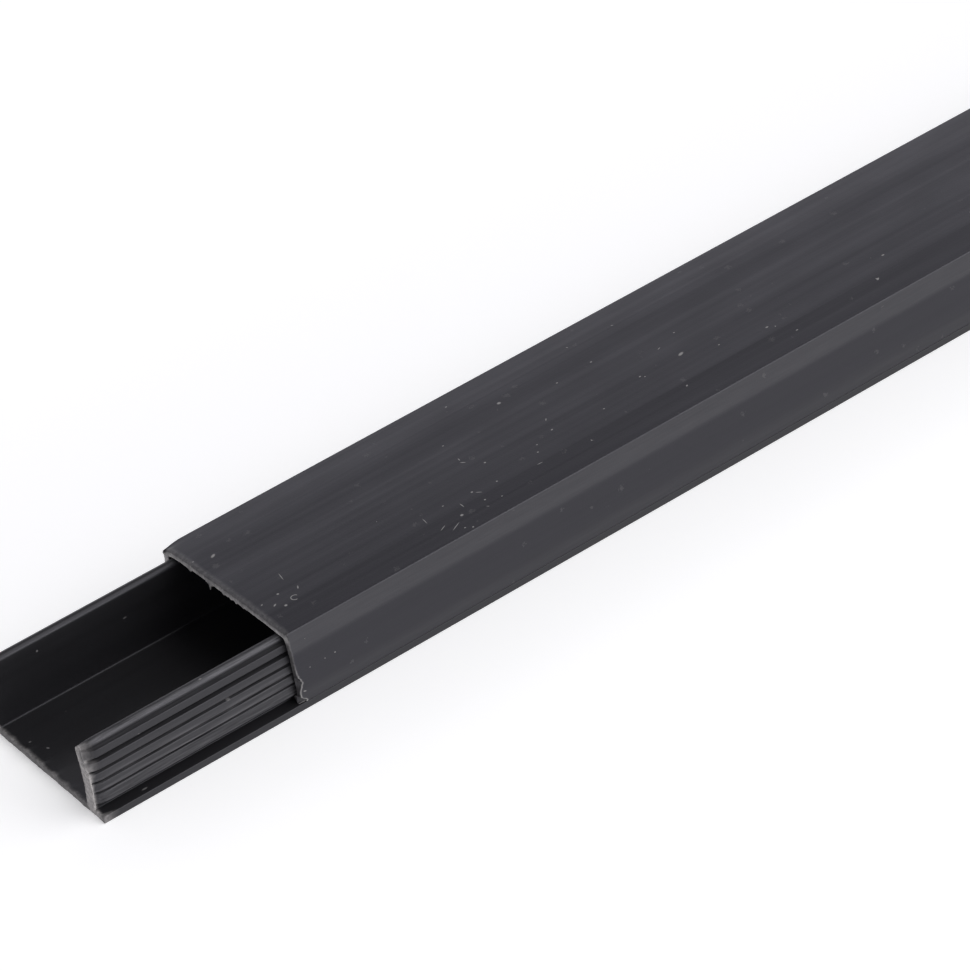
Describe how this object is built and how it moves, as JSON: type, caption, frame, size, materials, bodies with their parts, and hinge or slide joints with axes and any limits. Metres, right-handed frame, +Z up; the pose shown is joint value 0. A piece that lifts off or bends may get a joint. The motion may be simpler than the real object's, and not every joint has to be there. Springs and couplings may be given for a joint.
{
  "type": "cord cover raceway",
  "caption": "Flat-bottomed extruded plastic cord raceway: an open base channel with ratchet walls and a crowned clip-over cover that slides along it, hiding cables on a wall or desk.",
  "frame": {"origin": "the middle of the base channel's flat underside", "axes": "X runs along the raceway from its bare near end, Y across it, Z up from the underside"},
  "size_m": [0.4261, 0.025, 0.0106],
  "materials": {
    "base_plastic": "satin black extruded plastic with fine die lines and pale sawn ends",
    "cover_plastic": "satin black extruded plastic with fine die lines, dust and light scratches"
  },
  "bodies": {
    "base": {"base_channel": "base_plastic"},
    "cover": {"cover": "cover_plastic"}
  },
  "joints": [
    {"name": "cover_slide", "type": "slide", "parent": "base", "child": "cover", "axis": [1, 0, 0], "range_m": [-0.0261, 0.3739]}
  ]
}
